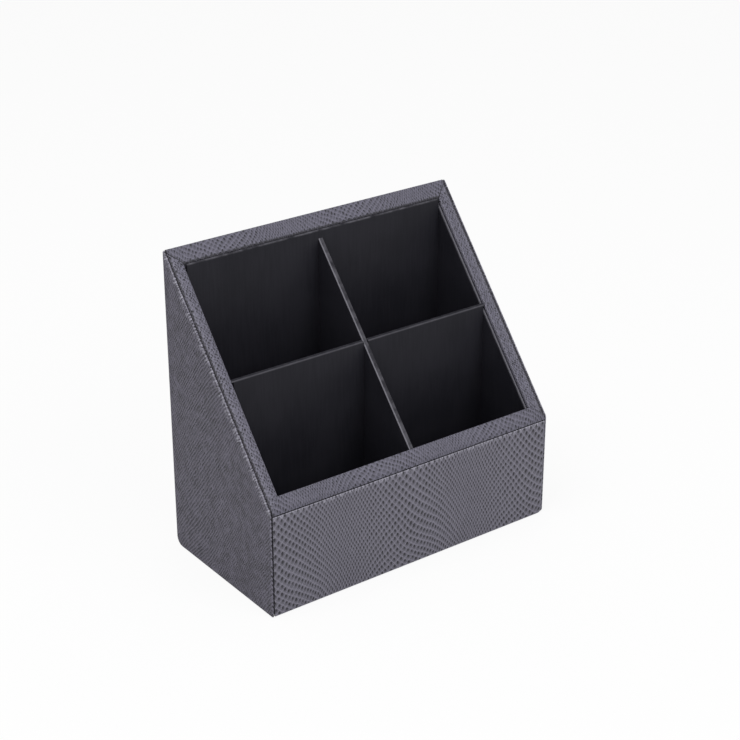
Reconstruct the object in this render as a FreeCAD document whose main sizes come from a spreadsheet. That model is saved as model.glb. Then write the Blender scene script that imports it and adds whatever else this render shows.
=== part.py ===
import FreeCAD, Part
import os
import re
import Sketcher
from FreeCAD import Placement, Rotation, Vector

# Desk-top holder: a box of thin boards with a sloping mouth, covered outside in grey leatherette and lined
# inside in black, with two crossed dividers that make four compartments.
# Millimetres. X runs across, Y from front to back and Z up. The origin is the middle of the footprint,
# on the surface that the holder stands on.

doc = FreeCAD.newDocument("DeskHolder")
sheet = doc.addObject("Spreadsheet::Sheet", "Sizes")

# The driving sizes.
SIZES = (
    ("width", "200"),                   # over the two side panels
    ("depth", "102"),                   # over the front and back panels
    ("front_height", "66.4"),           # where the sloping mouth meets the front face
    ("back_height", "189"),             # where the sloping mouth meets the back face
    ("side_board_thickness", "7.5"),
    ("front_board_thickness", "3.9"),
    ("back_board_thickness", "5.3"),
    ("base_thickness", "4"),
    ("panel_thickness", "0.9"),         # covered card on the outside of each board
    ("lining_thickness", "2.2"),        # covered card on the inside of each board
    ("floor_lining_thickness", "1.6"),
    ("rim_thickness", "0.8"),           # leatherette strip over the sloping board edges
    ("rim_turndown", "3"),              # how far a strip reaches down the inside of the mouth
    ("front_wrap", "0.6"),              # how far the front strip reaches down the front face, under its nose
    ("back_wrap", "8"),                 # how far the back strip reaches down the back face
    ("seam_gap", "0.7"),                # open groove between a strip and the panel beside it
    ("mitre_gap", "0.15"),              # open joint where two strips meet at a corner
    ("lining_gap", "0.3"),              # between a turned-down strip and the lining under it
    ("nose_radius", "3.5"),             # soft edge between the mouth and the front face
    ("crest_radius", "0.5"),            # edge between the mouth and the back face
    ("panel_crest_radius", "0.9"),      # the same corner of the side panels
    ("front_foot_radius", "2.5"),       # lower front corners of the panels
    ("back_foot_radius", "5.5"),        # lower back corners of the panels
    ("panel_edge_radius", "0.6"),       # turned edges of the covered panels
    ("strip_edge_radius", "0.35"),
    ("lining_edge_radius", "0.4"),
    ("divider_thickness", "3"),
    ("divider_edge_radius", "0.5"),
    ("slot_gap", "0.1"),                # on each side of a divider in the slot of the other
    ("shoulder_gap", "0.2"),            # between a divider's shoulder and the lining under it
    ("divider_front_drop", "0.2"),      # top of the long divider below the mouth, at the front
    ("divider_back_drop", "4.4"),       # the same at the back
    ("long_offset", "1.4"),             # middle of the long divider from the middle of the width
    ("wing_height", "0.7"),             # how far the cross divider stands above its shoulders
    ("cross_offset", "-0.5"),           # middle of the cross divider from the middle of the depth
    ("panel_lift", "0.4"),              # lower edge of the panels above the table
    ("cover_thickness", "1.2"),         # felt sheet under the base
    ("cover_inset", "3"),               # felt edge inside the outer faces
    ("cover_corner_radius", "6"),
)

# What follows from them. The names in _x are half widths, those in _y are places along the depth.
DERIVED = (
    ("rise", "(back_height - front_height) / depth"),
    ("slope_angle", "atan(rise)"),
    ("front_y", "-depth / 2"),
    ("back_y", "depth / 2"),
    ("board_x", "width / 2 - panel_thickness"),
    ("board_front_y", "front_y + panel_thickness"),
    ("board_back_y", "back_y - panel_thickness"),
    ("strip_x", "board_x - seam_gap"),
    ("inner_x", "board_x - side_board_thickness"),
    ("inner_front_y", "board_front_y + front_board_thickness"),
    ("inner_back_y", "board_back_y - back_board_thickness"),
    ("mouth_x", "inner_x - rim_thickness"),
    ("mouth_front_y", "inner_front_y + rim_thickness"),
    ("mouth_back_y", "inner_back_y - rim_thickness"),
    ("room_x", "inner_x - lining_thickness"),
    ("room_front_y", "inner_front_y + lining_thickness"),
    ("room_back_y", "inner_back_y - lining_thickness"),
    ("rim_drop", "rim_thickness / cos(slope_angle)"),
    ("turndown_drop", "rim_turndown / cos(slope_angle)"),
    ("base_top", "cover_thickness + base_thickness"),
    ("floor_top", "base_top + floor_lining_thickness"),
    ("nose_drop", "nose_radius * tan((90 deg - slope_angle) / 2)"),
    ("front_seam", "front_height - nose_drop - front_wrap"),
    ("back_seam", "back_height - back_wrap"),
    ("cross_front_y", "cross_offset - divider_thickness / 2"),
    ("cross_back_y", "cross_offset + divider_thickness / 2"),
    ("cross_mouth", "front_height + (cross_back_y - front_y) * rise"),
    ("cross_shoulder", "cross_mouth - turndown_drop - lining_gap + shoulder_gap"),
    ("cross_height", "cross_shoulder + wing_height"),
    ("lap_height", "(floor_top + cross_height) / 2"),
)

for row, (name, text) in enumerate(SIZES + tuple((name, "=" + text) for name, text in DERIVED), 1):
    sheet.set("A%d" % row, name)
    sheet.set("B%d" % row, text)
    sheet.setAlias("B%d" % row, name)
doc.recompute()

ALIASES = re.compile(r"\b(%s)\b" % "|".join(name for name, text in SIZES + DERIVED))
NEAR = 1e-4


def bound(text):
    """The expression with each size named as a cell of the sheet."""
    return ALIASES.sub(r"Sizes.\1", text)


def value(text):
    """The expression's number at the present sizes."""
    return float(sheet.evalExpression(text))


def mouth_height(y):
    """Height of the sloping mouth plane at a place along the depth."""
    return "(front_height + (%s - front_y) * rise)" % y


def new_piece(label, x="0", y="0"):
    """Body of one piece, set across and along by expressions."""
    body = doc.addObject("PartDesign::Body", label)
    body.setExpression(".Placement.Base.x", bound(x))
    body.setExpression(".Placement.Base.y", bound(y))
    return body


def outline(body, role, corners, on_slope=False):
    """Closed outline on an origin plane, or on the mouth plane, each corner held by its two distances."""
    sketch = body.newObject("Sketcher::SketchObject", "Outline")
    plane = next(item for item in body.Origin.OriginFeatures if item.Role == role)
    sketch.AttachmentSupport = [(plane, "")]
    sketch.MapMode = "FlatFace"
    if on_slope:
        sketch.AttachmentOffset = Placement(Vector(), Rotation(Vector(1, 0, 0), 1))
        sketch.setExpression(".AttachmentOffset.Rotation.Angle", bound("slope_angle"))
        sketch.setExpression(".AttachmentOffset.Base.y", bound("front_y"))
        sketch.setExpression(".AttachmentOffset.Base.z", bound("front_height"))
    points = [Vector(value(u), value(v), 0) for u, v in corners]
    for start, end in zip(points, points[1:] + points[:1]):
        sketch.addGeometry(Part.LineSegment(start, end))
    for index in range(len(points)):
        following = (index + 1) % len(points)
        sketch.addConstraint(Sketcher.Constraint("Coincident", index, 2, following, 1))
    for index, (corner, point) in enumerate(zip(corners, points)):
        for kind, text, size in zip(("DistanceX", "DistanceY"), corner, point):
            held = sketch.addConstraint(Sketcher.Constraint(kind, -1, 1, index, 1, size))
            sketch.setExpression("Constraints[%d]" % held, bound(text))
    return sketch


def extrude(body, kind, sketch, length, reversed_way=False, both_ways=False):
    """Pad or Pocket of an outline."""
    feature = body.newObject("PartDesign::" + kind, kind)
    feature.Profile = sketch
    feature.setExpression("Length", bound(length))
    feature.Reversed = reversed_way
    feature.SideType = "Symmetric" if both_ways else "One side"
    sketch.Visibility = False
    doc.recompute()
    return feature


def at(edge, **place):
    """Whether the middle of an edge lies at the places given along x, y or z."""
    middle = edge.CenterOfMass
    return all(abs(getattr(middle, axis) - value(text)) < NEAR for axis, text in place.items())


def round_edges(body, radius, *places):
    """Fillet on the edges of the tip that lie at any of the places."""
    base = body.Tip
    names = []
    for number, edge in enumerate(base.Shape.Edges, 1):
        if any(at(edge, **place) for place in places):
            names.append("Edge%d" % number)
    if len(names) < len(places):
        raise RuntimeError("an edge of %s was not found" % body.Label)
    fillet = body.newObject("PartDesign::Fillet", "Fillet")
    fillet.Base = (base, names)
    fillet.setExpression("Radius", bound(radius))
    doc.recompute()
    return fillet


# Left and right are the same pieces on the two sides: side is -1 at the left and 1 at the right.
SIDES = (("left", -1), ("right", 1))


# Core boards. The side boards run the full depth of the core, with the front and back boards between
# them. Their top edges lie one strip thickness under the mouth plane.

BOARD_TOP = "%s - rim_drop"

for side_name, side in SIDES:
    board = new_piece(side_name + "_side_board", x="%d * board_x" % side)
    profile = outline(board, "YZ_Plane", (
        ("board_front_y", "cover_thickness"),
        ("board_back_y", "cover_thickness"),
        ("board_back_y", BOARD_TOP % mouth_height("board_back_y")),
        ("board_front_y", BOARD_TOP % mouth_height("board_front_y")),
    ))
    extrude(board, "Pad", profile, "side_board_thickness", reversed_way=side > 0)
    round_edges(board, "front_foot_radius - panel_thickness", {"y": "board_front_y", "z": "cover_thickness"})
    round_edges(board, "back_foot_radius - panel_thickness", {"y": "board_back_y", "z": "cover_thickness"})

for board_name, outer_y, inner_y in (
    ("front_board", "board_front_y", "inner_front_y"),
    ("back_board", "board_back_y", "inner_back_y"),
):
    board = new_piece(board_name)
    profile = outline(board, "YZ_Plane", (
        (outer_y, "cover_thickness"),
        (inner_y, "cover_thickness"),
        (inner_y, BOARD_TOP % mouth_height(inner_y)),
        (outer_y, BOARD_TOP % mouth_height(outer_y)),
    ))
    extrude(board, "Pad", profile, "2 * inner_x", both_ways=True)


# Base board, between the four walls, and the covered card that lies on it between the wall linings.

def slab(label, half_width, front, back, bottom, thickness):
    """Flat rectangular board."""
    board = doc.addObject("Part::Box", label)
    board.setExpression("Length", bound("2 * %s" % half_width))
    board.setExpression("Width", bound("%s - %s" % (back, front)))
    board.setExpression("Height", bound(thickness))
    board.setExpression(".Placement.Base.x", bound("-%s" % half_width))
    board.setExpression(".Placement.Base.y", bound(front))
    board.setExpression(".Placement.Base.z", bound(bottom))
    return board


slab("base_board", "inner_x", "inner_front_y", "inner_back_y", "cover_thickness", "base_thickness")
slab("floor_lining", "room_x", "room_front_y", "room_back_y", "base_top", "floor_lining_thickness")


# Outer panels: covered card with its edges turned in, so that the outer face is rounded all round. The
# side panels show their edge at the mouth and at the front corners. The front and back panels lie
# between them and stop at a groove under the strips.

for side_name, side in SIDES:
    panel = new_piece(side_name + "_side_panel", x="%d * board_x" % side)
    profile = outline(panel, "YZ_Plane", (
        ("front_y", "panel_lift"),
        ("back_y", "panel_lift"),
        ("back_y", "back_height"),
        ("front_y", "front_height"),
    ))
    extrude(panel, "Pad", profile, "panel_thickness", reversed_way=side < 0)
    round_edges(panel, "nose_radius", {"y": "front_y", "z": "front_height"})
    round_edges(panel, "panel_crest_radius", {"y": "back_y", "z": "back_height"})
    round_edges(panel, "front_foot_radius", {"y": "front_y", "z": "panel_lift"})
    round_edges(panel, "back_foot_radius", {"y": "back_y", "z": "panel_lift"})
    round_edges(panel, "panel_edge_radius", {"x": "%d * panel_thickness" % side})

for panel_name, place, towards_back, top, foot in (
    ("front_panel", "board_front_y", False, "front_seam - seam_gap", "front_foot_radius"),
    ("back_panel", "board_back_y", True, "back_seam - seam_gap", "back_foot_radius"),
):
    panel = new_piece(panel_name, y=place)
    profile = outline(panel, "XZ_Plane", (
        ("-strip_x", "panel_lift"),
        ("strip_x", "panel_lift"),
        ("strip_x", top),
        ("-strip_x", top),
    ))
    extrude(panel, "Pad", profile, "panel_thickness", reversed_way=towards_back)
    feet = [{"x": "-strip_x", "z": "panel_lift"}, {"x": "strip_x", "z": "panel_lift"}]
    round_edges(panel, foot, *feet)
    outer_face = "panel_thickness" if towards_back else "-panel_thickness"
    round_edges(panel, "panel_edge_radius", {"y": outer_face})


# Rim strips: leatherette over the sloping board edges, mitred at the corners of the mouth and turned down
# inside it. On the mouth plane a place along the slope is its distance from the front face's corner.

FRONT_MOUTH = "((mouth_front_y - front_y) / cos(slope_angle))"
BACK_MOUTH = "((mouth_back_y - front_y) / cos(slope_angle))"
MITRE = "(strip_x - mouth_x)"
MOUTH_MIDDLE = "((mouth_front_y + mouth_back_y) / 2)"

for side_name, side in SIDES:
    strip = new_piece(side_name + "_rim_strip", x="%d * inner_x" % side)
    inside = "%d * rim_thickness" % -side
    outside = "%d * (strip_x - inner_x)" % side
    cover = outline(strip, "XY_Plane", (
        (outside, "%s - %s + mitre_gap" % (FRONT_MOUTH, MITRE)),
        (inside, FRONT_MOUTH + " + mitre_gap"),
        (inside, BACK_MOUTH + " - mitre_gap"),
        (outside, "%s + %s - mitre_gap" % (BACK_MOUTH, MITRE)),
    ), on_slope=True)
    extrude(strip, "Pad", cover, "rim_thickness", reversed_way=True)
    turndown = outline(strip, "YZ_Plane", (
        ("mouth_front_y", mouth_height("mouth_front_y") + " - turndown_drop"),
        ("mouth_back_y", mouth_height("mouth_back_y") + " - turndown_drop"),
        ("mouth_back_y", BOARD_TOP % mouth_height("mouth_back_y")),
        ("mouth_front_y", BOARD_TOP % mouth_height("mouth_front_y")),
    ))
    extrude(strip, "Pad", turndown, "rim_thickness", reversed_way=side > 0)
    long_edges = [{"x": x, "y": MOUTH_MIDDLE, "z": mouth_height(MOUTH_MIDDLE)} for x in (inside, outside)]
    round_edges(strip, "strip_edge_radius", *long_edges)


def end_strip(label, outer_y, mouth_y, inner_y, board_y, wrap_end, edge):
    """Front or back strip: one section along the width, then its corners mitred."""
    strip = new_piece(label)
    cover = outline(strip, "YZ_Plane", (
        (mouth_y, mouth_height(mouth_y)),
        (outer_y, mouth_height(outer_y)),
        (outer_y, wrap_end),
        (board_y, wrap_end),
        (board_y, BOARD_TOP % mouth_height(board_y)),
        (mouth_y, BOARD_TOP % mouth_height(mouth_y)),
    ))
    extrude(strip, "Pad", cover, "2 * strip_x", both_ways=True)
    along, way = edge
    for side in (-1, 1):
        corner = outline(strip, "XY_Plane", (
            ("%d * mouth_x" % side, along),
            ("%d * (strip_x + seam_gap)" % side, "%s + %d * (%s + seam_gap)" % (along, way, MITRE)),
            ("%d * (strip_x + seam_gap)" % side, "%s - %d * %s" % (along, way, MITRE)),
            ("%d * mouth_x" % side, "%s - %d * %s" % (along, way, MITRE)),
        ), on_slope=True)
        extrude(strip, "Pocket", corner, "2 * rim_thickness")
    turndown = outline(strip, "YZ_Plane", (
        (mouth_y, mouth_height(mouth_y) + " - rim_turndown"),
        (inner_y, mouth_height(mouth_y) + " - rim_turndown"),
        (inner_y, BOARD_TOP % mouth_height(inner_y)),
        (mouth_y, BOARD_TOP % mouth_height(mouth_y)),
    ))
    extrude(strip, "Pad", turndown, "2 * mouth_x", both_ways=True)
    long_edges = [{"y": mouth_y, "z": mouth_height(mouth_y)}, {"y": outer_y, "z": wrap_end}]
    round_edges(strip, "strip_edge_radius", *long_edges)
    return strip


front_strip = end_strip("front_rim_strip", "front_y", "mouth_front_y", "inner_front_y", "board_front_y",
                        "front_seam", (FRONT_MOUTH, -1))
round_edges(front_strip, "nose_radius", {"y": "front_y", "z": "front_height"})

back_strip = end_strip("back_rim_strip", "back_y", "mouth_back_y", "inner_back_y", "board_back_y",
                       "back_seam", (BACK_MOUTH, 1))
round_edges(back_strip, "crest_radius", {"y": "back_y", "z": "back_height"})


# Wall linings: covered card on the inner faces of the boards, from the base board up to the turned-down
# strips. The side linings run the full depth of the inside, with the front and back linings between.

LINING_MIDDLE = "((inner_front_y + inner_back_y) / 2)"
LINING_TOP = "%s - turndown_drop - lining_gap"

for side_name, side in SIDES:
    lining = new_piece(side_name + "_lining", x="%d * inner_x" % side)
    profile = outline(lining, "YZ_Plane", (
        ("inner_front_y", "base_top"),
        ("inner_back_y", "base_top"),
        ("inner_back_y", LINING_TOP % mouth_height("inner_back_y")),
        ("inner_front_y", LINING_TOP % mouth_height("inner_front_y")),
    ))
    extrude(lining, "Pad", profile, "lining_thickness", reversed_way=side > 0)
    top_edge = {"x": "%d * lining_thickness" % -side, "y": LINING_MIDDLE,
                "z": LINING_TOP % mouth_height(LINING_MIDDLE)}
    round_edges(lining, "lining_edge_radius", top_edge)

for lining_name, inner_y, room_y, mouth_y in (
    ("front_lining", "inner_front_y", "room_front_y", "mouth_front_y"),
    ("back_lining", "inner_back_y", "room_back_y", "mouth_back_y"),
):
    lining = new_piece(lining_name)
    top = mouth_height(mouth_y) + " - rim_turndown - lining_gap"
    profile = outline(lining, "YZ_Plane", (
        (inner_y, "base_top"),
        (room_y, "base_top"),
        (room_y, top),
        (inner_y, top),
    ))
    extrude(lining, "Pad", profile, "2 * room_x", both_ways=True)
    round_edges(lining, "lining_edge_radius", {"y": room_y, "z": top})


# Dividers: covered card, slotted into each other half and half. Above the linings each has a shoulder
# that reaches to the turned-down strip. The long divider's top slopes a little less than the mouth.

FRONT_SHOULDER = "(%s - rim_turndown - lining_gap + shoulder_gap)" % mouth_height("mouth_front_y")
LONG_FRONT_TOP = "(%s - divider_front_drop)" % mouth_height("mouth_front_y")
LONG_BACK_TOP = "(%s - divider_back_drop)" % mouth_height("room_back_y")
LONG_FALL = "((%s - %s) / (room_back_y - mouth_front_y))" % (LONG_BACK_TOP, LONG_FRONT_TOP)


def long_top(y):
    """Height of the long divider's top at a place along the depth."""
    return "(%s + (%s - mouth_front_y) * %s)" % (LONG_FRONT_TOP, y, LONG_FALL)


long_divider = new_piece("long_divider", x="long_offset")
profile = outline(long_divider, "YZ_Plane", (
    ("room_front_y", "floor_top"),
    ("cross_front_y - slot_gap", "floor_top"),
    ("cross_front_y - slot_gap", "lap_height"),
    ("cross_back_y + slot_gap", "lap_height"),
    ("cross_back_y + slot_gap", "floor_top"),
    ("room_back_y", "floor_top"),
    ("room_back_y", LONG_BACK_TOP),
    ("mouth_front_y", LONG_FRONT_TOP),
    ("mouth_front_y", FRONT_SHOULDER),
    ("room_front_y", FRONT_SHOULDER),
))
extrude(long_divider, "Pad", profile, "divider_thickness", both_ways=True)
LONG_MIDDLE = "((mouth_front_y + room_back_y) / 2)"
long_edges = [{"x": face, "y": LONG_MIDDLE, "z": long_top(LONG_MIDDLE)}
              for face in ("-divider_thickness / 2", "divider_thickness / 2")]
round_edges(long_divider, "divider_edge_radius", *long_edges)

cross_divider = new_piece("cross_divider", y="cross_offset")
profile = outline(cross_divider, "XZ_Plane", (
    ("-room_x", "floor_top"),
    ("room_x", "floor_top"),
    ("room_x", "cross_shoulder"),
    ("mouth_x", "cross_shoulder"),
    ("mouth_x", "cross_height"),
    ("-mouth_x", "cross_height"),
    ("-mouth_x", "cross_shoulder"),
    ("-room_x", "cross_shoulder"),
))
extrude(cross_divider, "Pad", profile, "divider_thickness", both_ways=True)
long_edges = [{"y": "-divider_thickness / 2", "z": "cross_height"},
              {"y": "divider_thickness / 2", "z": "cross_height"}]
round_edges(cross_divider, "divider_edge_radius", *long_edges)
slot = outline(cross_divider, "XZ_Plane", (
    ("long_offset - divider_thickness / 2 - slot_gap", "lap_height"),
    ("long_offset + divider_thickness / 2 + slot_gap", "lap_height"),
    ("long_offset + divider_thickness / 2 + slot_gap", "cross_height + slot_gap"),
    ("long_offset - divider_thickness / 2 - slot_gap", "cross_height + slot_gap"),
))
extrude(cross_divider, "Pocket", slot, "2 * divider_thickness", both_ways=True)


# Felt sheet glued under the base, a little smaller than the footprint, with rounded corners.

base_cover = new_piece("base_cover")
COVER_X = "(width / 2 - cover_inset)"
COVER_Y = "(depth / 2 - cover_inset)"
profile = outline(base_cover, "XY_Plane", (
    ("-" + COVER_X, "-" + COVER_Y),
    (COVER_X, "-" + COVER_Y),
    (COVER_X, COVER_Y),
    ("-" + COVER_X, COVER_Y),
))
extrude(base_cover, "Pad", profile, "cover_thickness")
corners = [{"x": x + COVER_X, "y": y + COVER_Y} for x in ("-", "") for y in ("-", "")]
round_edges(base_cover, "cover_corner_radius", *corners)


# Every object is checked before anything is written, then each piece goes to its own file.

doc.recompute()
for item in doc.Objects:
    if "Invalid" in item.State or "Error" in item.State:
        raise RuntimeError("%s is not up to date: %s" % (item.Label, item.State))

pieces = [item for item in doc.Objects if item.TypeId in ("PartDesign::Body", "Part::Box")]
for piece in pieces:
    if piece.Shape.isNull() or not piece.Shape.isValid() or len(piece.Shape.Solids) != 1:
        raise RuntimeError("%s is not one sound solid" % piece.Label)

os.makedirs("parts", exist_ok=True)
for piece in pieces:
    piece.Shape.exportStep(os.path.join("parts", piece.Label + ".step"))
    print("%-20s %10.1f mm3" % (piece.Label, piece.Shape.Volume))
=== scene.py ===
import math

import bmesh
import bpy
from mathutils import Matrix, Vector


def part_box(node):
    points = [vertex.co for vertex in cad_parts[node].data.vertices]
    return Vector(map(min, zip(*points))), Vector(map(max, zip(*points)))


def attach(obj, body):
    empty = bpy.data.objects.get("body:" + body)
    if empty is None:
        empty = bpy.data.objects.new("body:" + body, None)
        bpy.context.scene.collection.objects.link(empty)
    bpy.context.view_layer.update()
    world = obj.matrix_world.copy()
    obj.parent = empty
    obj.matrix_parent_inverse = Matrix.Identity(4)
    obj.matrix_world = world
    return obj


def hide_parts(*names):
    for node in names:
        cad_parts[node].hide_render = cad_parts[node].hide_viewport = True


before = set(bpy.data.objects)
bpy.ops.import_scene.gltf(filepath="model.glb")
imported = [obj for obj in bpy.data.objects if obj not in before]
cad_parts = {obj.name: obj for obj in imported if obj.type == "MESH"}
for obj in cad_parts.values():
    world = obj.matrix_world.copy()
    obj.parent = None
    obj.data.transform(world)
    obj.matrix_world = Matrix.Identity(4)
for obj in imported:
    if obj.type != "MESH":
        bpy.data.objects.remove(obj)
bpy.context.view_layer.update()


# Core boards: plain fibreboard, dyed dark, butt-jointed and glued. Two full sides with the front, the back
# and the base between them. Only their edges show, deep in the grooves between the covered panels.

MM = 0.001
MIX_DARK = 6                # a Mix node's sockets for two colours, and its output for the one between them
MIX_LIGHT = 7
MIX_BETWEEN = 2
BOARD_DARK = (0.022, 0.019, 0.022)
BOARD_LIGHT = (0.050, 0.043, 0.050)
BOARD_CONTRAST = (0.30, 0.70)       # between which values of its noise a colour goes from dark to light
BOARD_ROUGHNESS = 0.9
BOARD_RELIEF = 0.15
CHIP_SIZE = 1.6
CHIP_FLATNESS = 3.0         # how many times wider than thick a chip is


class Signal:
    """One output socket in a material, for arithmetic with other sockets and with numbers."""

    def __init__(self, socket):
        self.socket = socket

    def node(self, kind, settings, inputs, output=0):
        """A node of any kind in the same material: its settings first, then its sockets."""
        tree = self.socket.id_data
        node = tree.nodes.new("ShaderNode" + kind)
        for name, setting in settings.items():
            setattr(node, name, setting)
        for place, given in inputs.items():
            if isinstance(given, Signal):
                tree.links.new(given.socket, node.inputs[place])
            else:
                node.inputs[place].default_value = given
        return Signal(node.outputs[output])

    def math(self, operation, *others):
        """A Math node with this signal as its first value."""
        return self.node("Math", {"operation": operation}, dict(enumerate((self,) + others)))

    def __add__(self, other):
        return self.math("ADD", other)

    __radd__ = __add__

    def __sub__(self, other):
        return self.math("SUBTRACT", other)

    def __rsub__(self, other):
        return self.node("Math", {"operation": "SUBTRACT"}, {0: other, 1: self})

    def __mul__(self, other):
        return self.math("MULTIPLY", other)

    __rmul__ = __mul__

    def __truediv__(self, other):
        return self.math("DIVIDE", other)

    def __pow__(self, other):
        return self.math("POWER", other)

    def __abs__(self):
        return self.math("ABSOLUTE")

    def sine(self):
        """The sine of this angle."""
        return self.math("SINE")

    def cosine(self):
        """The cosine of this angle."""
        return self.math("COSINE")

    def clip(self):
        """This signal held between 0 and 1."""
        return self.node("Clamp", {}, {0: self})

    def centred(self):
        """A signal from 0 to 1, moved down to swing about 0."""
        return self - 0.5

    def ramp(self, low, high):
        """0 below low and 1 above high, smooth between."""
        return self.node("MapRange", {"interpolation_type": "SMOOTHSTEP"},
                         {"Value": self, "From Min": low, "From Max": high})

    def blend(self, dark, light):
        """The colour between two, each a signal or (red, green, blue), that this signal picks."""
        dark, light = (colour if isinstance(colour, Signal) else colour + (1,) for colour in (dark, light))
        return self.node("Mix", {"data_type": "RGBA"}, {0: self, MIX_DARK: dark, MIX_LIGHT: light},
                         output=MIX_BETWEEN)

    def noise(self, size, detail=2.0):
        """Noise over this vector, from 0 to 1, with lumps of about the size given, in the vector's units."""
        return self.node("TexNoise", {}, {"Vector": self, "Scale": 1 / size, "Detail": detail})

    def shift(self, way):
        """This vector moved by another."""
        return self.node("VectorMath", {"operation": "ADD"}, {0: self, 1: way})

    def stretch(self, x=1.0, y=1.0, z=1.0):
        """This vector with its coordinates multiplied by three numbers."""
        return self.node("VectorMath", {"operation": "MULTIPLY"}, {0: self, 1: (x, y, z)})

    @property
    def x(self):
        """The first coordinate of this vector."""
        return self.node("SeparateXYZ", {}, {0: self}, output="X")

    @property
    def y(self):
        """The second coordinate of this vector."""
        return self.node("SeparateXYZ", {}, {0: self}, output="Y")

    @property
    def z(self):
        """The third coordinate of this vector."""
        return self.node("SeparateXYZ", {}, {0: self}, output="Z")


def new_material(name):
    """A new material, and where each of its points lies in its object, in millimetres."""
    material = bpy.data.materials.new(name)
    material.use_nodes = True
    place = Signal(material.node_tree.nodes.new("ShaderNodeTexCoord").outputs["Object"])
    return material, place.stretch(1 / MM, 1 / MM, 1 / MM)


def connect(material, colour, roughness, height=None, depth=0.0, **constants):
    """Connects what was made for a material to its shader. depth is the bump's height in millimetres."""
    tree = material.node_tree
    shader = tree.nodes["Principled BSDF"]
    tree.links.new(colour.socket, shader.inputs["Base Color"])
    if isinstance(roughness, Signal):
        tree.links.new(roughness.socket, shader.inputs["Roughness"])
    else:
        shader.inputs["Roughness"].default_value = roughness
    for name, number in constants.items():
        shader.inputs[name.replace("_", " ")].default_value = number
    if height:
        bump = height.node("Bump", {}, {"Height": height, "Distance": depth * MM, "Strength": 1.0})
        tree.links.new(bump.socket, shader.inputs["Normal"])


def dress(material, *names):
    """Gives a material to CAD nodes."""
    for name in names:
        for material_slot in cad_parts[name].material_slots:
            material_slot.material = material


fibreboard, place = new_material("fibreboard")
chips = place.stretch(z=CHIP_FLATNESS).noise(CHIP_SIZE, detail=6.0)
connect(fibreboard, chips.ramp(*BOARD_CONTRAST).blend(BOARD_DARK, BOARD_LIGHT), BOARD_ROUGHNESS,
        height=chips, depth=BOARD_RELIEF)
dress(fibreboard, "left_side_board", "right_side_board", "front_board", "back_board", "base_board")


# Felt sheet: short matted fibres, dyed black and pressed flat. It is glued under the base, a little smaller
# than the footprint, and is what the holder rests on.

FELT_DARK = (0.006, 0.006, 0.007)
FELT_LIGHT = (0.030, 0.029, 0.032)
FELT_CONTRAST = (0.35, 0.65)
FELT_ROUGHNESS = 0.95
FELT_RELIEF = 0.4
FELT_SHEEN = 0.3
FIBRE_SIZE = 0.5
FIBRE_SQUEEZE = 0.35        # of the noise front to back, which draws its lumps out into fibres
TUFT_SIZE = 6.0
TUFT_SHARE = 0.3

felt, place = new_material("felt")
fibres = place.stretch(y=FIBRE_SQUEEZE).noise(FIBRE_SIZE, detail=8.0)
tufts = place.noise(TUFT_SIZE, detail=3.0)
matted = fibres * (1 - TUFT_SHARE) + tufts * TUFT_SHARE
connect(felt, matted.ramp(*FELT_CONTRAST).blend(FELT_DARK, FELT_LIGHT), FELT_ROUGHNESS,
        height=matted, depth=FELT_RELIEF, Sheen_Weight=FELT_SHEEN)
dress(felt, "base_cover")


# Linings: card covered in smooth black leatherette and glued to the boards inside. Their top edges are rubbed
# paler, at the two sides along a thin line. The back one is thinner than the others and stands in front of
# the strip that is folded down there.

FRONT_Y = -51.0
BACK_Y = 51.0
FRONT_HEIGHT = 66.4
BACK_HEIGHT = 189.0
RISE = (BACK_HEIGHT - FRONT_HEIGHT) / (BACK_Y - FRONT_Y)
SLOPE = math.atan(RISE)
BLACK_DARK = (0.0135, 0.0133, 0.0178)
BLACK_LIGHT = (0.0188, 0.0184, 0.0240)
# The paler black of worn edges, and of the painted highlight on the long divider.
BLACK_WORN_AND_LIT = (0.178, 0.174, 0.200)
BLACK_CONTRAST = (0.35, 0.65)
BLACK_ROUGHNESS = 0.36      # where it is smoothest, and by how much clouds and threads each roughen it
BLACK_ROUGHENING = 0.10
BLACK_RELIEF = 0.03
BLACK_GLOSS = 0.12
CLOUD_SIZE = 38.0
CLOUD_SHARE = 0.6           # of the change from dark to light, where threads make the rest
THREAD_SIZE = 1.1
THREAD_SQUEEZE = 0.06       # of the noise in height, which draws its lumps out into upright threads
BLACK_GRAIN_SIZE = 0.7
BLACK_GRAIN_RELIEF = 0.4
WEAR_SIZE = 5.0
WEAR_CONTRAST = (0.25, 0.75)
EDGE_PALE = (0.15, 1.1)     # how far under a top edge its wear and its painted highlight start to fade and end
LINE_PALE = (0.2, 0.9)      # the same beside the paler line
LINE_FROM_FACE = 1.1        # of the worn line on a side lining's top edge, from its inner face
MOUTH_BACK_Y = 44.0
BACK_LINING_DROP = 0.9      # its top edge below the edge of the mouth
BACK_LINING_ROUNDING = 0.4
NEAR = 0.02
SMOOTH_ANGLE = 40.0
EDGE_STEPS = 5


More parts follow.
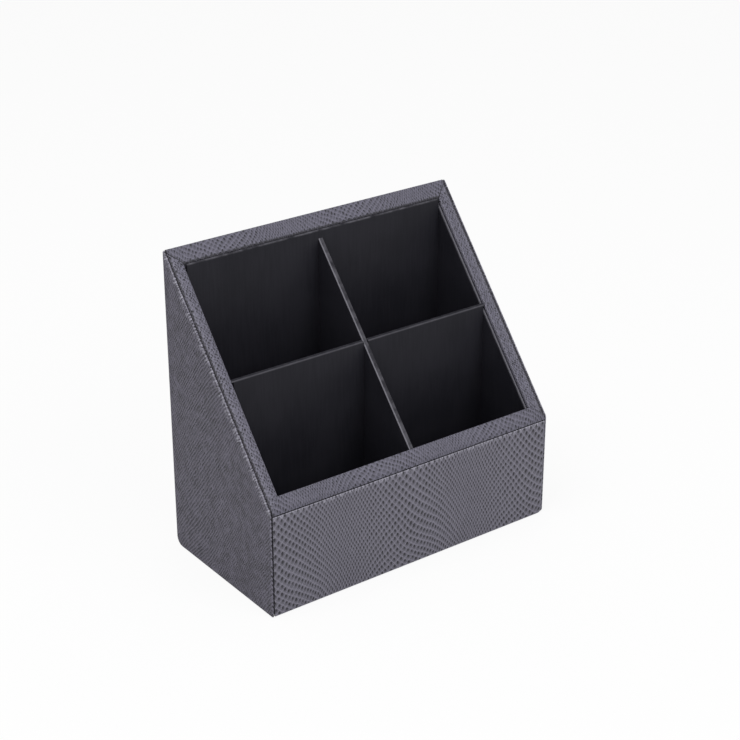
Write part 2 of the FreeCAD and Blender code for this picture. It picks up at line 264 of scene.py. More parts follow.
def black_covering(name, edge_height, edge_rise=0.0, rub=0.36, line=None, line_paling=1.0):
    """Smooth black leatherette whose top edge lies at edge_height where y is 0 and climbs by edge_rise.

    rub is how pale the top edge is worn. line gives, from a place in millimetres, how far it lies from a
    thin line along that edge that is paler still, by the argument after it: worn on the linings and the
    cross divider, a painted highlight on the long divider.
    """
    material, place = new_material(name)
    clouds = place.noise(CLOUD_SIZE, detail=3.0)
    grain = place.noise(BLACK_GRAIN_SIZE, detail=3.0)
    threads = place.stretch(z=THREAD_SQUEEZE).noise(THREAD_SIZE, detail=3.0)
    edge = 1 - (place.y * edge_rise + edge_height - place.z).ramp(*EDGE_PALE)
    wear_and_light = place.noise(WEAR_SIZE, detail=4.0).ramp(*WEAR_CONTRAST) * rub
    if line:
        # The line is wear on the side linings and the cross divider, and a painted highlight on the long
        # divider.
        wear_and_light = wear_and_light + (1 - line(place).ramp(*LINE_PALE)) * line_paling
    shades = clouds * CLOUD_SHARE + threads * (1 - CLOUD_SHARE)
    colour = shades.ramp(*BLACK_CONTRAST).blend(BLACK_DARK, BLACK_LIGHT)
    colour = (wear_and_light * edge).clip().blend(colour, BLACK_WORN_AND_LIT)
    roughness = clouds * BLACK_ROUGHENING + threads * BLACK_ROUGHENING + BLACK_ROUGHNESS
    connect(material, colour, roughness, height=grain * BLACK_GRAIN_RELIEF + threads, depth=BLACK_RELIEF,
            Specular_IOR_Level=BLACK_GLOSS)
    return material


def mouth_height(y):
    """Height in millimetres of the sloping mouth plane at a place along the depth."""
    return FRONT_HEIGHT + (y - FRONT_Y) * RISE


def lowest(node):
    """Lowest x, y and z of a CAD node, in millimetres."""
    return Vector(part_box(node)[0]) / MM


def highest(node):
    """Highest x, y and z of a CAD node, in millimetres."""
    return Vector(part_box(node)[1]) / MM


def near(one, other):
    """Whether two lengths in millimetres are the same."""
    return abs(one - other) < NEAR


def start_piece(name):
    """The object that the last primitive made, named, with its place applied to its mesh."""
    piece = bpy.context.active_object
    piece.name = name
    piece.data.name = name
    bpy.ops.object.transform_apply(location=True, rotation=True, scale=True)
    return piece


def block(name, corner, opposite):
    """A new box between two opposite corners, in millimetres."""
    bpy.ops.object.select_all(action="DESELECT")
    middle = [(start + end) / 2 * MM for start, end in zip(corner, opposite)]
    reach = [abs(end - start) * MM for start, end in zip(corner, opposite)]
    bpy.ops.mesh.primitive_cube_add(size=1, location=middle, scale=reach)
    return start_piece(name)


def pick(piece, kind, test, free=None):
    """Selects in edit mode only the faces or edges whose middle, in millimetres, passes a test.

    free keeps it to the edges that have one face, where it is true, or that have more, where it is false.
    """
    bpy.ops.mesh.select_mode(type=kind)
    bpy.ops.mesh.select_all(action="DESELECT")
    mesh = bmesh.from_edit_mesh(piece.data)
    for item in mesh.edges if kind == "EDGE" else mesh.faces:
        middle = sum((corner.co for corner in item.verts), Vector()) / len(item.verts) / MM
        if test(middle) and (free is None or item.is_boundary == free):
            item.select_set(True)
    mesh.select_flush_mode()
    bmesh.update_edit_mesh(piece.data)


def round_picked(start, steps):
    """Rounds the selected edges. start is how far from each its rounding starts, in millimetres."""
    bpy.ops.mesh.bevel(offset=start * MM, segments=steps, affect="EDGES", clamp_overlap=False)


def settle(piece, node, material):
    """Smooths a finished piece, gives it its material and puts it in the place of its CAD node."""
    bpy.ops.object.shade_smooth_by_angle(angle=math.radians(SMOOTH_ANGLE))
    bpy.ops.object.modifier_add(type="WEIGHTED_NORMAL")
    modifier = piece.modifiers[-1]
    modifier.keep_sharp = True
    bpy.ops.object.modifier_apply(modifier=modifier.name)
    piece.data.materials.clear()
    piece.data.materials.append(material)
    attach(piece, "root")
    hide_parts(node)


for node in ("left_lining", "right_lining"):
    inner_x = min(abs(lowest(node).x), abs(highest(node).x))
    covering = black_covering(node + "_covering", highest(node).z - highest(node).y * RISE, RISE, rub=0.18,
                              line=lambda place: inner_x + LINE_FROM_FACE - abs(place.x))
    dress(covering, node)
dress(black_covering("front_lining_covering", highest("front_lining").z), "front_lining")
dress(black_covering("floor_lining_covering", highest("floor_lining").z, rub=0.0), "floor_lining")

lining_right = highest("back_lining").x
lining_top = mouth_height(MOUTH_BACK_Y) - BACK_LINING_DROP
lining = block("back_lining_card", lowest("back_lining"), (lining_right, MOUTH_BACK_Y, lining_top))
bpy.ops.object.mode_set(mode="EDIT")
pick(lining, "EDGE", lambda at: near(at.z, lining_top) and near(at.x, 0))
round_picked(BACK_LINING_ROUNDING, EDGE_STEPS)
bpy.ops.object.mode_set(mode="OBJECT")
settle(lining, "back_lining", black_covering("back_lining_covering", lining_top, rub=0.5))


# Dividers: card covered in the same black leatherette, slotted into each other half and half, the long one
# from below and the cross one from above. The top of each is worn, the cross one's most along its front
# edge, and the long one's top has a painted highlight along its left edge.

LONG_FRONT_DROP = 0.2       # of the long divider's top in front, under the mouth

cross_front = lowest("cross_divider").y
dress(black_covering("cross_divider_covering", highest("cross_divider").z, rub=0.12,
                     line=lambda place: place.y - cross_front, line_paling=0.24), "cross_divider")
long_start = lowest("long_divider")
long_end = highest("long_divider")
long_rise = (long_end.z - mouth_height(long_start.y) + LONG_FRONT_DROP) / (long_end.y - long_start.y)
# Its line, along the left top edge, is a painted highlight.
dress(black_covering("long_divider_covering", long_end.z - long_end.y * long_rise, long_rise,
                     line=lambda place: place.x - long_start.x), "long_divider")


# Grey embossed leatherette, the skin of the whole outside: scales in crossing rows, large along upright
# bands and small between them, each scale with a pit that is deepest under its upper corner and a raised
# net of ridges between. It is all one sheet, so every piece has its place on it as a UV map in millimetres.

SKIN = "skin"
# The attribute that makes a piece paler: wear on its turned edges, and on the side panels and side strips
# painted highlights and painted light as well.
WEAR_AND_LIGHT_LAYER = "wear_and_light_mask"
BAND = 91.5                 # from one band of large scales to the next
BAND_MIDDLE = -5.5
COLUMNS = 0.3173            # scales per millimetre across, and how that swings over a band, once and twice
COLUMNS_ONCE = 0.14
COLUMNS_TWICE = 0.0227
ROWS = 0.222                # rows per millimetre upwards, and how that swings over a band
ROWS_SWING = 0.035
SWEEP = 45.0                # how far up the sheet the rows sweep before they straighten
SWEEP_MIDDLE = 66.0
CREEP_SIZE = 7.0            # lumps of the noise that bends the rows a little, and more widely
DRIFT_SIZE = 34.0
DRIFT_ACROSS = 0.9
DRIFT_UP = 0.6
CREEP_SHIFT = (31.0, 17.0, 0.0)     # where on its noise each change starts, so that no two are alike
DRIFT_SHIFT = (-83.0, 41.0, 0.0)
TONE_SHIFT = (11.0, -23.0, 5.0)
BLOTCH_SHIFT = (-7.0, 13.0, 2.0)
CHANCE_LAYER = 0.5          # third coordinate of the noise that makes each pit differ
PIT_HALF_WIDTH = 0.38       # of a pit in its scale, which reaches 1 from its middle to its corners
PIT_HALF_HEIGHT = 0.66
PIT_RAISED = 0.16
PIT_STRAY = 0.22
PIT_WALL = (0.2, 1.0)       # from where to where on its way out the wall of a pit climbs
PIT_DEEPENS = (-0.8, 0.5)   # from where to where on its way up a pit gets deeper, from the depth below
PIT_FOOT = 0.25
RIDGE_SHARPNESS = 6.0
RIDGE_LIFT = 0.72           # what each thing adds to or takes from the lightness between the two greys; the ridges' share is a painted highlight and the pits' a painted shade
PIT_DROP = 1.05
GRAIN_LIFT = 0.55
TONE_LIFT = 0.16
BAND_LIFT = 0.10
PLAIN = 0.53
GRAIN_SIZE = 0.55
TONE_SIZE = 26.0
RIDGE_RELIEF = 0.30         # in pits' depths
GRAIN_RELIEF = 0.12
RIDGE_PALING = 0.5            # how much wear and painted light show on ridges and grain, and how much less in a pit
GRAIN_PALING = 1.4
PIT_PALING = 0.5
# The darkest and the lightest grey, towards which the pits' painted shade and the ridges' painted highlight
# go.
GREY_PIT = (0.018, 0.017, 0.024)
GREY_RIDGE = (0.172, 0.164, 0.208)
GREY_WORN_AND_LIT = (0.400, 0.390, 0.460)
PLAIN_ROUGHNESS = 0.56
PIT_ROUGHENING = 0.15
RIDGE_SMOOTHING = 0.06
TURNED_EDGE = 0.6           # how far a turned edge is rounded, and how far its fraying reaches
FRAYED = 3.4
FRAY_LIFT = 0.75
HAIR = 0.7
HAIR_SQUEEZE = 0.25         # of the noise across the edge, which draws its lumps out into hairs
HAIRS_SHOWN = (0.45, 0.70)
GROOVE_SHADE = 0.7
GROOVE_SHADOW = (0.24, 0.78)        # how far from a groove its shadow starts to fade and ends


def scale_counts(sheet, fineness, banding, wander):
    """How far round a band a place is, and its counts of the rows of scales that rise and that fall."""
    creep = sheet.noise(CREEP_SIZE / fineness)
    creep_up = sheet.shift(CREEP_SHIFT).noise(CREEP_SIZE / fineness)
    drift = sheet.shift(DRIFT_SHIFT).noise(DRIFT_SIZE, detail=0.0)
    u = sheet.x + creep.centred() * wander
    v = sheet.y + creep_up.centred() * wander
    turn = (u - BAND_MIDDLE) * (math.tau / BAND)
    columns = u * COLUMNS - turn.sine() * (banding * COLUMNS_ONCE * BAND / math.tau)
    columns = columns + (turn * 2).sine() * (banding * COLUMNS_TWICE * BAND / math.tau / 2)
    climb = v - SWEEP_MIDDLE
    swing = (climb / SWEEP).sine() * SWEEP
    rows = climb * ROWS - turn.cosine() * swing * (banding * ROWS_SWING)
    columns = columns * fineness + drift * DRIFT_ACROSS
    rows = rows * fineness + drift * DRIFT_UP
    return turn, columns + rows, columns - rows


def ridges_and_pits(rising, falling, uneven):
    """The raised net between the scales and the pit in each, from the counts of their crossing rows."""
    cell = rising.node("CombineXYZ", {}, {0: rising.math("FLOOR"), 1: falling.math("FLOOR"), 2: CHANCE_LAYER})
    chance = cell.node("TexWhiteNoise", {"noise_dimensions": "3D"}, {"Vector": cell})
    across = rising.math("FRACT")
    down = falling.math("FRACT")
    ridge = (1 - (across * math.pi).sine() * (down * math.pi).sine()) ** RIDGE_SHARPNESS
    sideways = (across + down - 1 + chance.centred() * PIT_STRAY) / PIT_HALF_WIDTH
    upwards = (across - down - PIT_RAISED) / PIT_HALF_HEIGHT
    hollow = 1 - ((sideways * sideways + upwards * upwards) ** 0.5).ramp(*PIT_WALL)
    size = chance * (2 * uneven) + 1 - uneven
    return ridge, hollow * size * (upwards.ramp(*PIT_DEEPENS) * (1 - PIT_FOOT) + PIT_FOOT)


def shaded(colour, painted_shade):
    """A colour multiplied part by part by another, which paints shade on a piece's copy of the leatherette.
    """
    return tuple(part * shading for part, shading in zip(colour, painted_shade))


def embossed(name, painted_shade=(1.0, 1.0, 1.0), fineness=1.0, banding=1.0, contrast=1.0, depth=0.35, wander=1.5,
             uneven=0.45, mottle=0.12, mottle_size=4.5, frayed=None, groove=None):
    """The grey leatherette, with its scales made finer or flatter where a piece was stretched or pressed.

    banding is how much the scales vary over a band, wander how crooked their rows run, uneven how much the
    pits differ, mottle how blotchy it is, and mottle_size how large the blotches are. frayed gives, from a
    place in millimetres, how far along and how far under a frayed edge it lies, and groove how far it lies
    from an edge in shadow.
    """
    material, place = new_material(name)
    sheet = place.node("UVMap", {"uv_map": SKIN}, {}, output="UV")
    turn, rising, falling = scale_counts(sheet, fineness, banding, wander)
    ridge, pit = ridges_and_pits(rising, falling, uneven)
    grain = sheet.noise(GRAIN_SIZE, detail=3.0)
    tone = sheet.shift(TONE_SHIFT).noise(TONE_SIZE)
    blotches = sheet.shift(BLOTCH_SHIFT).noise(mottle_size)
    strength = (turn.cosine() * BAND_LIFT + 1 - BAND_LIFT) * contrast
    # The ridges are painted lighter and the pits darker, most under their upper corners: a painted highlight
    # and a painted shade of the relief, on top of its bump. Grain, tone and blotches are the sheet's own
    # colour.
    light = (ridge * RIDGE_LIFT - pit * PIT_DROP) * strength + grain.centred() * GRAIN_LIFT
    light = light + tone.centred() * TONE_LIFT + blotches.centred() * mottle + PLAIN
    wear_and_light_mask = sheet.node("Attribute", {"attribute_name": WEAR_AND_LIGHT_LAYER}, {}, output="Fac")
    # Paler where the attribute says, by wear and by painted highlight and light, and along frayed edges.
    worn_and_lit = wear_and_light_mask * (ridge * RIDGE_PALING + grain * GRAIN_PALING - pit * PIT_PALING)
    if frayed:
        along, under = frayed(place)
        hairs = sheet.node("CombineXYZ", {}, {0: along, 1: under * HAIR_SQUEEZE, 2: 0.0}).noise(HAIR)
        worn_and_lit = worn_and_lit + hairs.ramp(*HAIRS_SHOWN) * (1 - under.ramp(TURNED_EDGE, FRAYED)) * FRAY_LIFT
    if groove:
        shadow = 1 - groove(place).ramp(*GROOVE_SHADOW)
        worn_and_lit = worn_and_lit * (1 - shadow)
        light = light - shadow * GROOVE_SHADE
    # A piece's painted shade darkens its copy of both greys.
    colour = light.clip().blend(shaded(GREY_PIT, painted_shade), shaded(GREY_RIDGE, painted_shade))
    colour = worn_and_lit.clip().blend(colour, GREY_WORN_AND_LIT)
    roughness = pit * PIT_ROUGHENING - ridge * RIDGE_SMOOTHING + PLAIN_ROUGHNESS
    height = (ridge * RIDGE_RELIEF - pit) * strength + grain * GRAIN_RELIEF
    connect(material, colour, roughness, height=height, depth=depth)
    return material


def nearest(first, *others):
    """The least of several distances in a material."""
    for other in others:
        first = first.math("MINIMUM", other)
    return first


def lay_skin(piece, place_on_sheet):
    """UV map of a piece from a function of its points, both in millimetres."""
    layer = piece.data.uv_layers.new(name=SKIN)
    for loop in piece.data.loops:
        layer.data[loop.index].uv = place_on_sheet(piece.data.vertices[loop.vertex_index].co / MM)


def end_piece(piece, node, material, wear_and_light=lambda at: 0.0):
    """Settles a piece in the leatherette. The last argument says for each point how much its colour is paled:
    by wear, by a painted highlight and by painted light.
    """
    wear_and_light_mask = piece.data.attributes.new(WEAR_AND_LIGHT_LAYER, "FLOAT", "POINT")
    for point in piece.data.vertices:
        wear_and_light_mask.data[point.index].value = wear_and_light(point.co / MM)
    settle(piece, node, material)


# Side panels: card covered in the leatherette, its edges turned in, glued on the side boards. The outer
# face is rounded all round, and the corners follow the nose, the crest and the feet of the box.

PANEL_THICKNESS = 0.9
PANEL_LIFT = 0.4            # of the panels' feet above the face of the felt
BLANK_HEIGHT = 100.0        # of the block that a side panel is made from, before its top is set to the slope
NOSE_RADIUS = 3.5
PANEL_CREST_RADIUS = 0.9
LEFT_FOOT_RADIUS = 0.7      # of the lower front corners, which are sharper on the left
RIGHT_FOOT_RADIUS = 2.5
BACK_FOOT_RADIUS = 5.5
HALF_WIDTH = 100.0
NOSE_TURN = math.pi / 2 - SLOPE
CREST_TURN = math.pi / 2 + SLOPE
CORNER_STEPS = 10
SIDE_SHIFT = 22.0           # how far along the sheet the side panels were cut
# Painted shade: the side panels' copy of the leatherette is darker than the front's, though it is the same
# sheet.
SIDE_PAINTED_SHADE = (0.650, 0.630, 0.690)
# Painted highlight along the sloping edge of the side panels, and wear on their other turned edges.
SLOPE_HIGHLIGHT = 0.40
UPRIGHT_RUB = 0.12
RIGHT_FRONT_LIGHT = 0.4       # painted light over all of the right panel's front edge, against the shade of the groove there
SIDE_FRAY = 1.6             # how many times deeper the slope's edge is frayed than the other panels' edges


def rounding_start(radius, turn):
    """How far from a corner its rounding starts, where the outline turns by an angle there."""
    return radius * math.tan(turn / 2)


def under_mouth(place):
    """How far a place lies under the mouth plane, square to it."""
    return (mouth_height(place.y) - place.z) * math.cos(SLOPE)


def on_turned_edge(depth):
    """1 for a point on the rounding of a turned edge, told by its depth under the outer face, else 0."""
    return float(NEAR < depth < TURNED_EDGE)


def turn_edges(piece, test):
    """Rounds the outline of the faces that pass a test, as a covering does that is turned over the edge."""
    pick(piece, "FACE", test)
    bpy.ops.mesh.region_to_loop()
    round_picked(TURNED_EDGE, EDGE_STEPS)


def side_wear_and_light(at):
    """How much paler a side panel is: worn on its turned edges, with a painted highlight along the slope and
    painted light over its whole front edge on the right.
    """
    if at.x > 0 and at.y < FRONT_Y + PANEL_THICKNESS:
        return RIGHT_FRONT_LIGHT
    rub = SLOPE_HIGHLIGHT if under_mouth(at) < PANEL_THICKNESS else UPRIGHT_RUB
    return on_turned_edge(HALF_WIDTH - abs(at.x)) * rub


def under_slope(place):
    """How far along and how far under the sloping edge of a side panel a place lies, for its deeper fray."""
    along = place.y * math.cos(SLOPE) + place.z * math.sin(SLOPE)
    return along / SIDE_FRAY, under_mouth(place) / SIDE_FRAY


side_skin = embossed("side_leatherette", SIDE_PAINTED_SHADE, fineness=1.6, banding=0.45, contrast=2.2, depth=0.28,
                     wander=2.0, uneven=0.9, mottle=1.9, frayed=under_slope)

for side_name, side, front_foot in (("left", -1, LEFT_FOOT_RADIUS), ("right", 1, RIGHT_FOOT_RADIUS)):
    panel = block(side_name + "_covered_side", (side * HALF_WIDTH, FRONT_Y, PANEL_LIFT),
                  (side * (HALF_WIDTH - PANEL_THICKNESS), BACK_Y, BLANK_HEIGHT))
    for corner in panel.data.vertices:
        if corner.co.z > BLANK_HEIGHT / 2 * MM:
            corner.co.z = mouth_height(corner.co.y / MM) * MM
    bpy.ops.object.mode_set(mode="EDIT")
    for y, z, start in (
        (FRONT_Y, FRONT_HEIGHT, rounding_start(NOSE_RADIUS, NOSE_TURN)),
        (BACK_Y, BACK_HEIGHT, rounding_start(PANEL_CREST_RADIUS, CREST_TURN)),
        (FRONT_Y, PANEL_LIFT, front_foot),
        (BACK_Y, PANEL_LIFT, BACK_FOOT_RADIUS),
    ):
        pick(panel, "EDGE", lambda at: near(at.y, y) and near(at.z, z))
        round_picked(start, CORNER_STEPS)
    turn_edges(panel, lambda at: near(at.x, side * HALF_WIDTH))
    bpy.ops.object.mode_set(mode="OBJECT")
    lay_skin(panel, lambda at: ((SIDE_SHIFT - at.y) * side, at.z + HALF_WIDTH - abs(at.x)))
    end_piece(panel, side_name + "_side_panel", side_skin, side_wear_and_light)


# Front and back panels: the same covered card, set between the side panels with an open groove at each
# end, and stopping at a groove under the wrapped strips. In front the groove on the right is pressed shut.

SEAM_GAP = 0.7
STRIP_X = HALF_WIDTH - PANEL_THICKNESS - SEAM_GAP
PRESSED = 0.5               # how far the front panel reaches into the groove on the right
SEAM_LIT = 0.25             # by how much less of a panel's top lies in shadow than of its ends
FRONT_WRAP = 0.6            # how far the front strip runs on below the nose
FRONT_SEAM = FRONT_HEIGHT - rounding_start(NOSE_RADIUS, NOSE_TURN) - FRONT_WRAP
BACK_WRAP = 8.0             # how far the back strip reaches down from the crest
BACK_SEAM = BACK_HEIGHT - BACK_WRAP


def from_ends(place):
    """How far a place lies from the groove at the nearer side panel."""
    return STRIP_X - abs(place.x)


def from_left_end(place):
    """How far a place lies from the groove at the left side panel."""
    return place.x + STRIP_X


for panel_name, node, outer_y, inward, top, right_end, feet, ends in (
    ("covered_front", "front_panel", FRONT_Y, 1, FRONT_SEAM - SEAM_GAP, STRIP_X + PRESSED,
     (LEFT_FOOT_RADIUS, RIGHT_FOOT_RADIUS), from_left_end),
    ("covered_back", "back_panel", BACK_Y, -1, BACK_SEAM - SEAM_GAP, STRIP_X,
     (BACK_FOOT_RADIUS, BACK_FOOT_RADIUS), from_ends),
):
    panel = block(panel_name, (-STRIP_X, outer_y, PANEL_LIFT),
                  (right_end, outer_y + inward * PANEL_THICKNESS, top))
    bpy.ops.object.mode_set(mode="EDIT")
    for end_x, foot in zip((-STRIP_X, right_end), feet):
        pick(panel, "EDGE", lambda at: near(at.x, end_x) and near(at.z, PANEL_LIFT))
        round_picked(foot, CORNER_STEPS)
    turn_edges(panel, lambda at: near(at.y, outer_y))
    bpy.ops.object.mode_set(mode="OBJECT")
    lay_skin(panel, lambda at: (at.x * inward, at.z + (abs(at.y) - BACK_Y)))
    panel_skin = embossed(panel_name + "_leatherette", contrast=1.15,
                          frayed=lambda place: (place.x, top - place.z),
                          groove=lambda place: nearest(ends(place), top - place.z + SEAM_LIT))
    end_piece(panel, node, panel_skin, lambda at: on_turned_edge(BACK_Y - abs(at.y)))


# Rim strips: leatherette over the sloping edges of the boards, folded down inside the mouth, and at the
# front and the back over the outer corner as well. Their ends meet in mitres at the corners of the mouth.

STRIP_THICKNESS = 0.8
MOUTH_X = 90.8
MOUTH_FRONT_Y = -45.4
MITRE = STRIP_X - MOUTH_X
MITRE_GAP = 0.15
TURNDOWN = 3.0
INNER_FOLD = 0.9            # how far the fold into the mouth is rounded
CREST_RADIUS = 0.5
STRIP_STEP = 2.5            # between the points along a strip
ROWS_ACROSS = 6
PAST_ROUNDING = 1.2         # where the second row lies, in lengths of the outer corner's rounding
CROWN = 0.25                # how far the middle of a strip stands above its edges
ON_PLANE = 0.4              # how far off the mouth plane a fold may lie
FOLD_LIT = 2.6              # about how far down a fold its shadow begins, and the same on the back strip
BACK_FOLD_LIT = 0.7
# Painted highlight on the side strips' bend into the mouth.
FOLD_HIGHLIGHT = 0.32
OUTER_PALING = 0.16            # how much paler the side strips are beside their outer groove, and how far it fades out
OUTER_PALING_REACH = 4.5
SIDE_GROOVE = 0.4           # by how much more of the side strips lies in the shadow of that groove
SIDE_STRIP_SHIFT = (17.0, 9.0)      # how far along and up the sheet each strip was cut
FRONT_STRIP_SHIFT = 19.5
BACK_STRIP_SHIFT = 62.0
# Painted shade: the strips' copies of the leatherette are darker, though cut from the same sheet.
SIDE_STRIP_PAINTED_SHADE = (0.77, 0.77, 0.83)
STRIP_PAINTED_SHADE = (0.75, 0.75, 0.81)     # of the front and back strips
CORNER = Vector((0, FRONT_Y, FRONT_HEIGHT))
ALONG = Vector((0, math.cos(SLOPE), math.sin(SLOPE)))           # up the mouth plane, and square to it
STANDING = Vector((0, -math.sin(SLOPE), math.cos(SLOPE)))


def slope_place(y):
    """Distance up the slope from the front corner to the place that lies over y."""
    return (y - FRONT_Y) / math.cos(SLOPE)


FRONT_MOUTH = slope_place(MOUTH_FRONT_Y)
BACK_MOUTH = slope_place(MOUTH_BACK_Y)


def up_slope(at):
    """Distance of a point up the slope from the front corner, square to the mouth's front edge."""
    return (at - CORNER).dot(ALONG)


def strip_sheet(name, rows):
    """Sheet on the mouth plane with a slight crown, from rows of first x, last x, and first and last distance
    up the slope. The first row is at the outer edge and the last at the mouth.
    """
    first_x, last_x, first_up, last_up = rows[0]
    length = max(abs(last_x - first_x), abs(last_up - first_up))
    bpy.ops.object.select_all(action="DESELECT")
    bpy.ops.mesh.primitive_grid_add(
        x_subdivisions=round(length / STRIP_STEP), y_subdivisions=len(rows) - 1, size=2)
    piece = start_piece(name)
    for point in piece.data.vertices:
        along = (point.co.x + 1) / 2
        inwards = (point.co.y + 1) / 2
        first_x, last_x, first_up, last_up = rows[round(inwards * (len(rows) - 1))]
        x = first_x + (last_x - first_x) * along
        up = first_up + (last_up - first_up) * along
        sink = CROWN * (1 - math.sqrt(4 * inwards * (1 - inwards)))
        point.co = (CORNER + Vector((x, 0, 0)) + ALONG * up - STANDING * sink) * MM
    return piece


def fold(piece, at_edge, drop, rounding, steps):
    """Folds a sheet straight down past the edge where its points pass a test, and rounds the fold."""
    pick(piece, "EDGE", at_edge, free=True)
    bpy.ops.mesh.extrude_edges_move(TRANSFORM_OT_translate={"value": (0, 0, -drop * MM)})
    pick(piece, "EDGE", lambda at: at_edge(at) and abs(under_mouth(at)) < ON_PLANE, free=False)
    round_picked(rounding, steps)


def thicken(piece):
    """Gives the folded sheet its thickness, inwards."""
    bpy.ops.object.mode_set(mode="EDIT")
    bpy.ops.mesh.select_all(action="SELECT")
    bpy.ops.mesh.normals_make_consistent(inside=False)
    if sum(face.normal.dot(STANDING) for face in bmesh.from_edit_mesh(piece.data).faces) < 0:
        bpy.ops.mesh.flip_normals()
    bpy.ops.object.mode_set(mode="OBJECT")
    modifier = piece.modifiers.new("thickness", "SOLIDIFY")
    modifier.thickness = STRIP_THICKNESS * MM
    modifier.offset = -1
    modifier.use_even_offset = True
    bpy.ops.object.modifier_apply(modifier=modifier.name)


def from_back_mitre(place):
    """How far a place lies from the edge of the open joint between the back strip and a side strip."""
    off = abs(place.x) - slope_place(place.y) + (BACK_MOUTH - MOUTH_X)
    return abs(off) * math.sqrt(0.5) + MITRE_GAP


def strip_highlight_and_paling(at):
    """How much paler a side strip is: a painted highlight on the bend into the mouth, and less along its
    outer edge.
    """
    if abs(at.x) < MOUTH_X + INNER_FOLD / 2:
        return FOLD_HIGHLIGHT * (under_mouth(at) < 2 * INNER_FOLD)
    return OUTER_PALING * max(0.0, 1 - (STRIP_X - abs(at.x)) / OUTER_PALING_REACH)


side_strip_skin = embossed(
    "side_strip_leatherette", SIDE_STRIP_PAINTED_SHADE, fineness=1.7, banding=0.4, contrast=1.2, depth=0.18,
    wander=4.2, uneven=1.0, mottle=1.6, mottle_size=2.2,
    groove=lambda place: nearest(from_ends(place) - SIDE_GROOVE, FOLD_LIT - under_mouth(place),
                                 from_back_mitre(place)))

for side_name, side in (("left", -1), ("right", 1)):
    rows = []
    for row in range(ROWS_ACROSS + 1):
        inset = MITRE * (1 - row / ROWS_ACROSS)
        x = side * (MOUTH_X + inset)
        rows.append((x, x, FRONT_MOUTH - inset + MITRE_GAP, BACK_MOUTH + inset - MITRE_GAP))
    strip = strip_sheet(side_name + "_rim", rows)
    bpy.ops.object.mode_set(mode="EDIT")
    fold(strip, lambda at: near(abs(at.x), MOUTH_X), TURNDOWN / math.cos(SLOPE), INNER_FOLD, EDGE_STEPS)
    bpy.ops.object.mode_set(mode="OBJECT")
    thicken(strip)
    shift_along, shift_up = SIDE_STRIP_SHIFT
    lay_skin(strip, lambda at: (abs(at.x) - under_mouth(at) + shift_along * side,
                                up_slope(at) + shift_up * side))
    end_piece(strip, side_name + "_rim_strip", side_strip_skin, strip_highlight_and_paling)

for strip_name, node, outer_y, mouth, way, end_z, outer_rounding, sheet_shift, groove in (
    ("front_rim", "front_rim_strip", FRONT_Y, FRONT_MOUTH, -1, FRONT_SEAM,
     rounding_start(NOSE_RADIUS, NOSE_TURN), FRONT_STRIP_SHIFT,
     lambda place: nearest(from_left_end(place), FOLD_LIT - under_mouth(place))),
    ("back_rim", "back_rim_strip", BACK_Y, BACK_MOUTH, 1, BACK_SEAM,
     rounding_start(CREST_RADIUS, CREST_TURN), BACK_STRIP_SHIFT,
     lambda place: nearest((BACK_FOLD_LIT - under_mouth(place)).math("MAXIMUM", place.y - MOUTH_BACK_Y),
                           from_ends(place), from_back_mitre(place))),
):
    outer = slope_place(outer_y) - CROWN * RISE
    past_rounding = outer - way * outer_rounding * PAST_ROUNDING
    rows = [(way * STRIP_X, -way * STRIP_X, outer, outer)]
    for row in range(ROWS_ACROSS):
        up = past_rounding + (mouth - past_rounding) * row / (ROWS_ACROSS - 1)
        half = min(MOUTH_X + abs(up - mouth), STRIP_X)
        rows.append((way * half, -way * half, up, up))
    corner_z = mouth_height(outer_y) - CROWN / math.cos(SLOPE)
    strip = strip_sheet(strip_name, rows)
    bpy.ops.object.mode_set(mode="EDIT")
    fold(strip, lambda at: near(up_slope(at), mouth), TURNDOWN, INNER_FOLD, EDGE_STEPS)
    fold(strip, lambda at: near(up_slope(at), outer), corner_z - end_z, outer_rounding, CORNER_STEPS)
    bpy.ops.object.mode_set(mode="OBJECT")
    thicken(strip)
    lay_skin(strip, lambda at: (at.x + sheet_shift, up_slope(at)))
    strip_skin = embossed(strip_name + "_leatherette", STRIP_PAINTED_SHADE, fineness=1.3, contrast=0.88, depth=0.22,
                          wander=2.8, uneven=0.75, mottle=0.5, mottle_size=2.6, groove=groove)
    end_piece(strip, node, strip_skin)


# Stage floor: plain and white, out to the surround. The camera sees it nearly as bright as the surround, and
# the holder's soft shadow stays on it. It lies a hair under the felt, so the two faces don't meet.

FLOOR_SIZE = 12.0
FLOOR_DROP = 0.00005
FLOOR_DULL = (0.86, 0.86, 0.86)
FLOOR_CLEAN = (0.88, 0.88, 0.88)
FLOOR_ROUGHNESS = 0.9
FLOOR_CLOUDS = 900.0
FLOOR_GLOW = 0.9
WHITE = (1.0, 1.0, 1.0, 1.0)

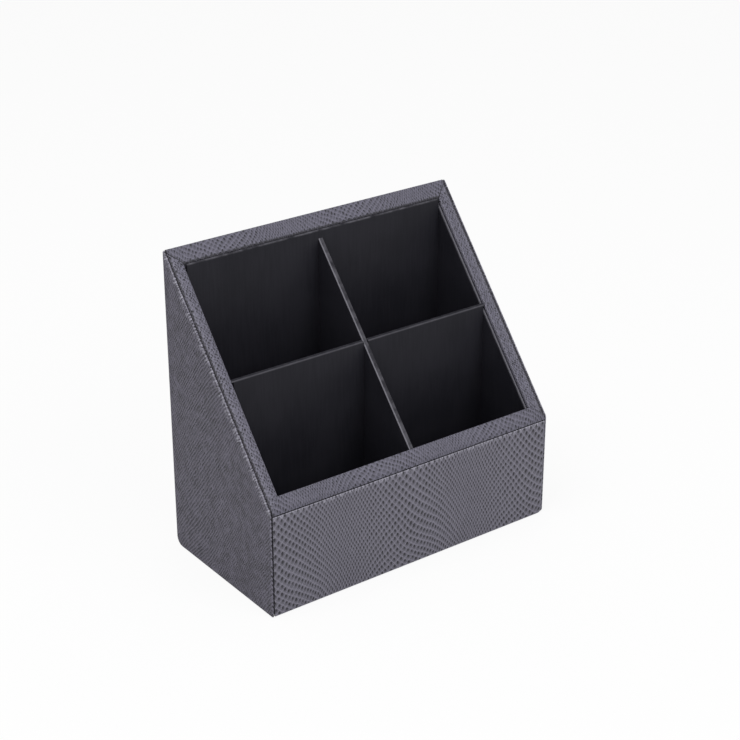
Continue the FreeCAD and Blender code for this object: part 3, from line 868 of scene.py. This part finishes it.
bpy.ops.object.select_all(action="DESELECT")
bpy.ops.mesh.primitive_plane_add(size=FLOOR_SIZE, location=(0, 0, -FLOOR_DROP))
floor = bpy.context.active_object
floor.name = "floor"
floor_material, place = new_material("pale_floor")
floor_colour = place.noise(FLOOR_CLOUDS).blend(FLOOR_DULL, FLOOR_CLEAN)
connect(floor_material, floor_colour, FLOOR_ROUGHNESS, Specular_IOR_Level=0.0)
floor_tree = floor_material.node_tree
plain_floor = Signal(floor_tree.nodes["Principled BSDF"].outputs["BSDF"])
shown = place.node("LightPath", {}, {}, output="Is Camera Ray")
glow = place.node("Emission", {}, {"Color": WHITE, "Strength": 1.0})
paled = place.node("MixShader", {}, {0: shown * FLOOR_GLOW, 1: plain_floor, 2: glow})
floor_tree.links.new(paled.socket, floor_tree.nodes["Material Output"].inputs["Surface"])
floor.data.materials.append(floor_material)


# Surround and lamps: a white tent that lights the holder evenly from all round, a broad lamp in front and one
# high on the left, which reaches the inner faces of the compartments.

TENT = 0.57                 # its light on the holder, where it is seen as white
LAMP_AIM = (0.0, 0.0, 0.09)

world = bpy.data.worlds.new("tent")
bpy.context.scene.world = world
world.use_nodes = True
background = world.node_tree.nodes["Background"]
rays = world.node_tree.nodes.new("ShaderNodeLightPath").outputs
seen = Signal(rays["Is Camera Ray"]) + Signal(rays["Is Glossy Ray"]) + Signal(rays["Is Transmission Ray"])
level = seen.clip() * (1 - TENT) + TENT
world.node_tree.links.new(level.socket, background.inputs["Strength"])
background.inputs["Color"].default_value = WHITE

for name, lamp_place, size, power in (
    ("key_lamp", (0.35, -1.3, 1.1), 0.9, 7.5),
    ("left_lamp", (-0.55, -0.1, 1.35), 0.8, 8.0),
):
    bpy.ops.object.light_add(type="AREA", location=lamp_place)
    lamp = bpy.context.active_object
    lamp.name = name
    lamp.data.size = size
    lamp.data.energy = power
    lamp.rotation_euler = (Vector(LAMP_AIM) - Vector(lamp_place)).to_track_quat("-Z", "Y").to_euler()


# Camera: some way above the holder and towards its left front corner, with a long lens.

CAMERA_PLACE = (-0.56853, -0.77145, 0.55859)
CAMERA_AZIMUTH = -36.658
CAMERA_ELEVATION = 25.291
FOCAL_LENGTH = 88.502
SENSOR_WIDTH = 36.0

bpy.ops.object.camera_add(location=CAMERA_PLACE,
                          rotation=(math.radians(90 - CAMERA_ELEVATION), 0, math.radians(CAMERA_AZIMUTH)))
camera = bpy.context.active_object
camera.data.lens = FOCAL_LENGTH
camera.data.sensor_width = SENSOR_WIDTH
bpy.context.scene.camera = camera
bpy.context.scene.view_settings.view_transform = "Standard"
